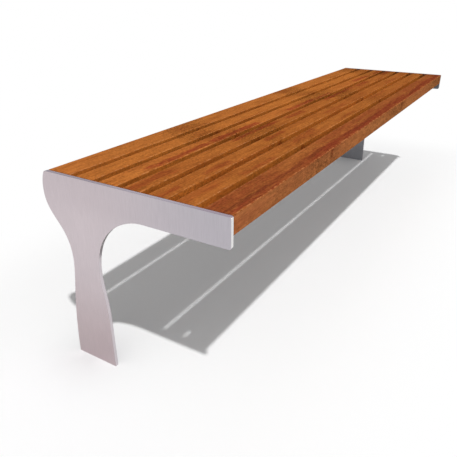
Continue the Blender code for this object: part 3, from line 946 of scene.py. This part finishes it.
def board_material(number, low, high, board):
    """Oiled hardwood for one board, with its own grain, streaks and worn edges, and painted light and
    shade on its sides.
    """
    material, tree, shader, place = new_material(f"oiled_hardwood_{number}")
    axes = add_node(tree, "ShaderNodeSeparateXYZ", {0: place}).outputs
    seed = board_seed_step * number
    inputs = {"Vector": place, "Seed": seed}
    grain = add_node(tree, "ShaderNodeGroup", inputs, node_tree=timber_grain).outputs
    wood = mix_colours(tree, fade(tree, grain["Figure"], 0.30, 0.50), timber_deep, timber_mid)
    wood = mix_colours(tree, fade(tree, grain["Figure"], 0.50, 0.72), wood, timber_pale)
    reddened = fade(tree, grain["Redness"], 0.40, 0.70, 0.0, board["redness"])
    wood = mix_colours(tree, reddened, wood, timber_heart)
    on_top = fade(tree, axes["Z"], high.z - slat_arris, high.z - slat_arris * 0.3)
    wood = add_streaks(tree, wood, grain, on_top, board, seed)

    # The tone of the grain, and of the mottled places on top
    lightness = board["lightness"]
    tone = multiply(
        tree,
        fade(tree, grain["Grain"], 0.30, 0.70, grain_tone[0] * lightness, grain_tone[1] * lightness),
        fade(tree, grain["Lines"], 0.30, 0.70, *lines_tone),
        fade(tree, grain["Fibre"], 0.25, 0.75, *fibre_tone),
        fade(tree, grain["Pores"], 0.0, 1.0, 1.0, pore_tone),
    )
    wander = multiply(tree, calculate(tree, "SUBTRACT", grain["Redness"], 0.5), 0.12)
    along = calculate(tree, "ADD", axes["X"], wander)
    flecks = fade(tree, grain["Grain"], 0.35, 0.65, 1.6, 0.4)
    tone = add_mottles(tree, tone, along, flecks, board["mottles"])
    wood = mix_colours(tree, 1.0, tone_colour(tree, wood, tone), board["tint"], "MULTIPLY")

    # The upper edges, rubbed pale in places
    across = calculate(tree, "SUBTRACT", axes["Y"], (low.y + high.y) / 2)
    off_middle = calculate(tree, "ABSOLUTE", across)
    half_width = (high.y - low.y) / 2
    by_edge = fade(tree, off_middle, half_width - worn_start, half_width - worn_full)
    rubbing = lines_value(tree, place, (110.0, 120.0, 120.0), 8.0, 3.0)
    rubbed = fade(tree, rubbing, 0.44, 0.62, 0.0, worn_share)
    wood = mix_colours(tree, multiply(tree, by_edge, on_top, rubbed), wood, timber_worn)

    # The sides, with painted light and shade: darker where open to the air, lighter where facing a gap,
    # and lighter still towards the right end
    front_side = (open_side_painted_shade if number == 1 else gap_side_painted_light) / lightness
    back_side = (open_side_painted_shade if number == slat_count else gap_side_painted_light) / lightness
    on_back = fade(tree, across, -side_turn, side_turn)
    side = mix_colours(tree, on_back, tuple(front_side), tuple(back_side))
    side_flecks = lines_value(tree, place, (65.0, 120.0, 120.0), seed, 2.0)
    fleck_depth = front_fleck_depth if number == 1 else gap_fleck_depth
    side_tone = fade(tree, side_flecks, 0.30, 0.70, 1.0 - fleck_depth, 1.0 + fleck_depth)
    # Mottles on the sides, with painted shade at the right end where the sides meet the far plate
    side_tone = add_mottles(tree, side_tone, along, flecks, board["side mottles and painted shade"])
    side = tone_colour(tree, side, side_tone)
    # Painted light: the sides facing a gap grow lighter towards the right end
    if number > 1:
        side = tone_colour(tree, side, fade(tree, axes["X"], *far_gap_light_fade, 1.0, far_gap_painted_light))
    on_front = fade(tree, across, side_turn, -side_turn)
    knot_size = front_knot if number == 1 else gap_knot
    side = add_knots(tree, side, place, grain["Figure"], on_front, knot_size)
    below_top = fade(tree, axes["Z"], high.z - slat_arris * 0.7, high.z - slat_arris * 1.3)
    wood = mix_colours(tree, below_top, wood, side, "MULTIPLY")

    # The sawn ends, then the finish of the whole board
    off_centre = calculate(tree, "ABSOLUTE", axes["X"])
    grain_start = high.x - end_grain_reach
    end_grain = fade(tree, off_centre, grain_start, high.x - slat_end_round, 0.0, end_grain_share)
    tree.links.new(mix_colours(tree, end_grain, wood, timber_end), shader["Base Color"])
    tree.links.new(fade(tree, grain["Fibre"], 0.2, 0.8, *timber_roughness), shader["Roughness"])
    relief = calculate(tree, "SUBTRACT", grain["Fibre"], grain["Pores"])
    add_bump(tree, shader, relief, 0.2, 0.0003)
    shader["Specular IOR Level"].default_value = 0.0
    return material


def is_long(edge):
    """True on an edge that runs from one end of the bench to the other."""
    return edge.verts[0].co.x * edge.verts[1].co.x < 0.0


for number in range(1, slat_count + 1):
    node = f"seat_slat_{number}"
    low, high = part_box(node)
    bpy.ops.object.select_all(action="DESELECT")
    bpy.ops.mesh.primitive_cube_add(size=1.0, location=(low + high) / 2, scale=high - low)
    slat = bpy.context.object
    apply_place()
    bpy.ops.object.mode_set(mode="EDIT")
    lower_round = slat_arris if number == 1 else slat_lower_round
    for level, radius in ((high.z, slat_arris), (low.z, lower_round)):
        round_edges(slat, lambda edge: is_long(edge) and at(edge.verts[0].co.z, level), radius, 4)
    round_edges(slat, is_sharp, slat_end_round, 2)
    bpy.ops.object.mode_set(mode="OBJECT")
    holes = []
    for screw, shank in (("coach_screw", coach_shank), ("wood_screw", wood_screw_shank)):
        for end in ("left", "right"):
            screw_x, screw_y, screw_tip = screw_axis(f"{screw}_{end}_{number}")
            hole_top = screw_tip + pilot_depth_clearance
            holes.append((screw_x, screw_y, low.z - slat_arris, hole_top, shank + pilot_clearance))
    drill(slat, holes)
    smooth_rounds(slat)
    slat.data.materials.clear()
    slat.data.materials.append(board_material(number, low, high, boards[number - 1]))
    place_piece(slat, node)


# Coach screws: hexagon heads with a flange, driven up through the brackets and the bearers into the
# slats' pilot holes. They are bright stainless steel, with a plain neck below the thread.
coach_low, coach_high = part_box("coach_screw_left_1")
hex_sides = 6
hex_flats = 0.013
hex_height = 0.0055
hex_chamfer = 0.0011
flange_diameter = 0.017
flange_thickness = 0.0015
flange_chamfer = 0.0006
coach_sides = 24
coach_neck = 0.0105
coach_thread_pitch = 0.0026
coach_thread_depth = 0.0009
coach_tip = 0.003
screw_bright = (0.66, 0.66, 0.65)
screw_dull = (0.48, 0.48, 0.48)
screw_roughness = (0.22, 0.38)
point_share = 0.08
thread_turn = ((1.0, 0.30), (0.0, 0.55), (0.0, 0.65), (1.0, 0.90))


def threaded_profile(radius, depth, pitch, start, tip_start, tip):
    """The outline of a thread and tip, as (radius, height) pairs; a turn is in shares of both."""
    turns = math.floor((tip_start - start) / pitch)
    profile = [(radius - depth, start)]
    for turn in range(turns):
        foot = start + turn * pitch
        for cut, rise in thread_turn:
            profile.append((radius - depth * cut, foot + pitch * rise))
    profile.append((radius - depth, tip_start))
    profile.append((radius * point_share, tip))
    return profile


screw_steel, tree, shader, place = new_material("screw_steel")
handling = lines_value(tree, place, (160.0, 160.0, 160.0), seed=5.0, detail=3.0)
turning = lines_value(tree, place, (300.0, 300.0, 2600.0), seed=6.0)
bright = fade(tree, handling, 0.35, 0.65)
tree.links.new(mix_colours(tree, bright, screw_dull, screw_bright), shader["Base Color"])
tree.links.new(fade(tree, turning, 0.25, 0.75, *screw_roughness), shader["Roughness"])
add_bump(tree, shader, turning, 0.08, 0.0001)
shader["Metallic"].default_value = 1.0

coach_place = ((coach_low.x + coach_high.x) / 2, (coach_low.y + coach_high.y) / 2)
hex_corner = hex_flats / 2 / math.cos(math.pi / hex_sides)
hex_top = coach_low.z + hex_height
flange_top = hex_top + flange_thickness
coach_radius = coach_shank / 2
neck_top = flange_top + coach_neck
hex_head = turned_shape(
    [
        (hex_corner - hex_chamfer, coach_low.z),
        (hex_corner, coach_low.z + hex_chamfer * 0.6),
        (hex_corner, hex_top + flange_thickness / 2),
    ],
    hex_sides,
    coach_place,
)
coach_screw = turned_shape(
    [
        (flange_diameter / 2 - flange_chamfer, hex_top),
        (flange_diameter / 2, hex_top + flange_thickness * 0.4),
        (flange_diameter / 2, flange_top),
        (coach_radius, flange_top),
        (coach_radius, neck_top),
        *threaded_profile(
            coach_radius,
            coach_thread_depth,
            coach_thread_pitch,
            neck_top,
            coach_high.z - coach_tip,
            coach_high.z,
        ),
    ],
    coach_sides,
    coach_place,
)
combine(coach_screw, hex_head, "UNION")
smooth_rounds(coach_screw)
coach_screw.data.materials.append(screw_steel)


def copy_screws(screw, kind):
    """Set copies of a screw at all its places, and the screw itself at the first."""
    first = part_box(f"{kind}_left_1")[0]
    for end in ("left", "right"):
        for number in range(1, slat_count + 1):
            node = f"{kind}_{end}_{number}"
            if node != f"{kind}_left_1":
                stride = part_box(node)[0] - first
                place_piece(copy_piece(screw, node, stride), node)
    place_piece(screw, f"{kind}_left_1")


copy_screws(coach_screw, "coach_screw")


# Wood screws: two to a slat between its ends, of the same stainless steel, pan-headed with a cross
# recess. They go up through the bearers' webs and hold the slats down along their length.
wood_low, wood_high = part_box("wood_screw_left_1")
wood_screw_sides = 20
head_radius = 0.005
head_height = 0.0032
pan_profile = ((0.72, 0.0), (0.88, 0.14), (0.97, 0.38), (1.0, 0.65), (1.0, 1.0))
recess_length = 0.0052
recess_width = 0.0011
recess_depth = 0.0016
wood_neck = 0.0036
wood_thread_pitch = 0.0018
wood_thread_depth = 0.0007
wood_tip = 0.004

wood_place = ((wood_low.x + wood_high.x) / 2, (wood_low.y + wood_high.y) / 2)
wood_radius = wood_screw_shank / 2
head_top = wood_low.z + head_height
wood_screw = turned_shape(
    [
        *[(head_radius * width, wood_low.z + head_height * rise) for width, rise in pan_profile],
        (wood_radius, head_top),
        (wood_radius, head_top + wood_neck),
        *threaded_profile(
            wood_radius,
            wood_thread_depth,
            wood_thread_pitch,
            head_top + wood_neck,
            wood_high.z - wood_tip,
            wood_high.z,
        ),
    ],
    wood_screw_sides,
    wood_place,
)
for size in ((recess_length, recess_width), (recess_width, recess_length)):
    bpy.ops.object.select_all(action="DESELECT")
    bpy.ops.mesh.primitive_cube_add(
        size=1.0,
        location=(*wood_place, wood_low.z),
        scale=(*size, 2 * recess_depth),
    )
    recess = bpy.context.object
    apply_place()
    combine(wood_screw, recess, "DIFFERENCE")
smooth_rounds(wood_screw)
wood_screw.data.materials.clear()
wood_screw.data.materials.append(screw_steel)
copy_screws(wood_screw, "wood_screw")


# Studio: a pale floor that keeps the bench's shadow, with painted shade round the feet, one high lamp
# from the front left, and a soft surround that is brighter on the lamp's side. Away from the bench the
# floor shows as plain white.
floor_size = 60.0
floor_colour = (0.972, 0.972, 0.972)
shadow_middle = (0.04, 0.15, 0.0)
shadow_reach = (1.08, 0.33, 0.0)
floor_fade_start = 0.02
floor_fade_end = 0.40
foot_lean = Vector((-0.018, 0.02))
foot_reach = (0.004, 0.010, 0.0)
painted_foot_shade = (0.79, 0.79, 0.79)
foot_shade_reach = 0.22
foot_shade_power = 3.0
lamp_place = Vector((-18.9, -19.65, 50.0))
lamp_light = 2.14
lamp_radius = 0.85
surround_power = 0.40
surround_lean = 0.75
overhead_colour = (0.40, 0.38, 0.47)
overhead_fade = (0.08, 0.34)


def distance_from(tree, place, middle, reach):
    """How far a place is outside a box given by its middle and its reach."""
    off = vector_math(tree, "SUBTRACT", place, middle)
    off = vector_math(tree, "SUBTRACT", vector_math(tree, "ABSOLUTE", off), reach)
    return vector_math(tree, "LENGTH", vector_math(tree, "MAXIMUM", off), output="Value")


def seen_rays(tree, rays):
    """1 for the rays by which a surface is seen, straight, mirrored or through glass, or else 0."""
    seen = calculate(tree, "MAXIMUM", rays["Is Camera Ray"], rays["Is Glossy Ray"])
    return calculate(tree, "MAXIMUM", seen, rays["Is Transmission Ray"])


bpy.ops.object.select_all(action="DESELECT")
bpy.ops.mesh.primitive_plane_add(size=floor_size, location=(0.0, 0.0, cad_box[0].z))
floor = bpy.context.object
floor.name = "studio_floor"
floor_paint = bpy.data.materials.new("studio_floor")
floor_paint.use_nodes = True
tree = floor_paint.node_tree
tree.nodes.clear()
place = add_node(tree, "ShaderNodeTexCoord").outputs["Object"]
away = distance_from(tree, place, shadow_middle, shadow_reach)
# Painted shade on the floor round each foot, strongest at the foot and falling off over a short reach
foot_y = (foot_front.x + foot_back.x) / 2 + foot_lean.y
by_left_foot = distance_from(tree, place, (foot_lean.x + plate_middle, foot_y, 0.0), foot_reach)
by_right_foot = distance_from(tree, place, (foot_lean.x - plate_middle, foot_y, 0.0), foot_reach)
by_foot = calculate(tree, "MINIMUM", by_left_foot, by_right_foot)
shaded = calculate(tree, "DIVIDE", by_foot, foot_shade_reach)
shaded = calculate(tree, "MAXIMUM", calculate(tree, "SUBTRACT", 1.0, shaded), 0.0)
shaded = calculate(tree, "POWER", shaded, foot_shade_power)
floor_tone = mix_colours(tree, shaded, floor_colour, painted_foot_shade)
rays = add_node(tree, "ShaderNodeLightPath").outputs
bare = multiply(tree, seen_rays(tree, rays), fade(tree, away, floor_fade_start, floor_fade_end))
matt = add_node(tree, "ShaderNodeBsdfDiffuse", {"Color": floor_tone}).outputs[0]
white = add_node(tree, "ShaderNodeEmission", {"Color": (1.0, 1.0, 1.0, 1.0), "Strength": 1.0}).outputs[0]
surface = add_node(tree, "ShaderNodeMixShader", {0: bare, 1: matt, 2: white}).outputs[0]
add_node(tree, "ShaderNodeOutputMaterial", {"Surface": surface})
floor.data.materials.append(floor_paint)

bpy.ops.object.light_add(type="POINT", location=lamp_place)
lamp = bpy.context.object
lamp.name = "high_lamp"
lamp.data.energy = lamp_light * 4 * math.pi * lamp_place.length_squared
lamp.data.shadow_soft_size = lamp_radius

surround = bpy.data.worlds.new("studio_surround")
bpy.context.scene.world = surround
surround.use_nodes = True
tree = surround.node_tree
tree.nodes.clear()
rays = add_node(tree, "ShaderNodeLightPath").outputs
way = add_node(tree, "ShaderNodeTexCoord").outputs["Generated"]
height = add_node(tree, "ShaderNodeSeparateXYZ", {0: way}).outputs["Z"]
mirrored = mix_colours(tree, fade(tree, height, *overhead_fade), (1.0, 1.0, 1.0), overhead_colour)
shown = mix_colours(tree, rays["Is Camera Ray"], mirrored, (1.0, 1.0, 1.0))
seen = seen_rays(tree, rays)
to_lamp = Vector((lamp_place.x, lamp_place.y, 0.0)).normalized()
lean = vector_math(tree, "DOT_PRODUCT", way, to_lamp, "Value")
soft_power = calculate(tree, "ADD", multiply(tree, lean, surround_power * surround_lean), surround_power)
soft = add_node(tree, "ShaderNodeBackground", {"Color": (1.0, 1.0, 1.0, 1.0), "Strength": soft_power})
backdrop = add_node(tree, "ShaderNodeBackground", {"Color": shown, "Strength": 1.0})
both = add_node(tree, "ShaderNodeMixShader", {0: seen, 1: soft.outputs[0], 2: backdrop.outputs[0]})
add_node(tree, "ShaderNodeOutputWorld", {"Surface": both.outputs[0]})
bpy.context.scene.view_settings.view_transform = "Standard"
